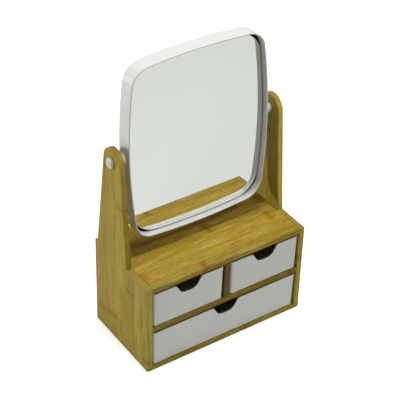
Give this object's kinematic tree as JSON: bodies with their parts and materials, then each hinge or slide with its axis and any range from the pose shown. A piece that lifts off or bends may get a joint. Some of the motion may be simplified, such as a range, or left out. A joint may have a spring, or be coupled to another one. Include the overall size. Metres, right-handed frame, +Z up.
{
  "type": "vanity mirror with drawer",
  "caption": "Bow-sided mirror in a deep white hoop, tilting between two uprights of a small bamboo cabinet with white drawers that have finger notches.",
  "frame": {"origin": "centre of the cabinet's underside", "axes": "+X to the viewer's right along the front, +Y from the front to the back, +Z up"},
  "size_m": [0.2242, 0.111, 0.3594],
  "materials": {
    "bamboo": "natural bamboo strips, clear satin lacquer",
    "dowel_wood": "raw turned wood",
    "drawer_plastic": "fine matt, slightly translucent white",
    "hoop_plastic": "smooth satin white",
    "mirror_glass": "silvered on the back, polished",
    "backing_board": "plain black fibre board",
    "pin_plastic": "matt cream",
    "washer_plastic": "matt, slightly soft"
  },
  "bodies": {
    "cabinet": {"bottom_board": "bamboo", "back_panel": "bamboo", "side_panel_left": "bamboo", "side_panel_right": "bamboo", "middle_board": "bamboo", "top_board": "bamboo", "drawer_divider": "bamboo", "top_board_dowels": "dowel_wood", "middle_board_dowels": "dowel_wood"},
    "mirror": {"mirror_hoop": "hoop_plastic", "mirror_glass": "mirror_glass", "mirror_backing": "backing_board", "mirror_back_cover": "hoop_plastic", "pivot_pin_left": "pin_plastic", "pivot_pin_right": "pin_plastic", "pivot_washer_left": "washer_plastic", "pivot_washer_right": "washer_plastic"},
    "upper_left_drawer": {"drawer_upper_left": "drawer_plastic"},
    "upper_right_drawer": {"drawer_upper_right": "drawer_plastic"},
    "lower_drawer": {"drawer_lower": "drawer_plastic"}
  },
  "joints": [
    {"name": "mirror_tilt", "type": "hinge", "parent": "cabinet", "child": "mirror", "pos_m": [0, 0.0165, 0.2485], "axis": [1, 0, 0], "continuous": true},
    {"name": "upper_left_drawer_slide", "type": "slide", "parent": "cabinet", "child": "upper_left_drawer", "axis": [0, -1, 0], "range_m": [0, 0.08]},
    {"name": "upper_right_drawer_slide", "type": "slide", "parent": "cabinet", "child": "upper_right_drawer", "axis": [0, -1, 0], "range_m": [0, 0.08]},
    {"name": "lower_drawer_slide", "type": "slide", "parent": "cabinet", "child": "lower_drawer", "axis": [0, -1, 0], "range_m": [0, 0.08]}
  ]
}
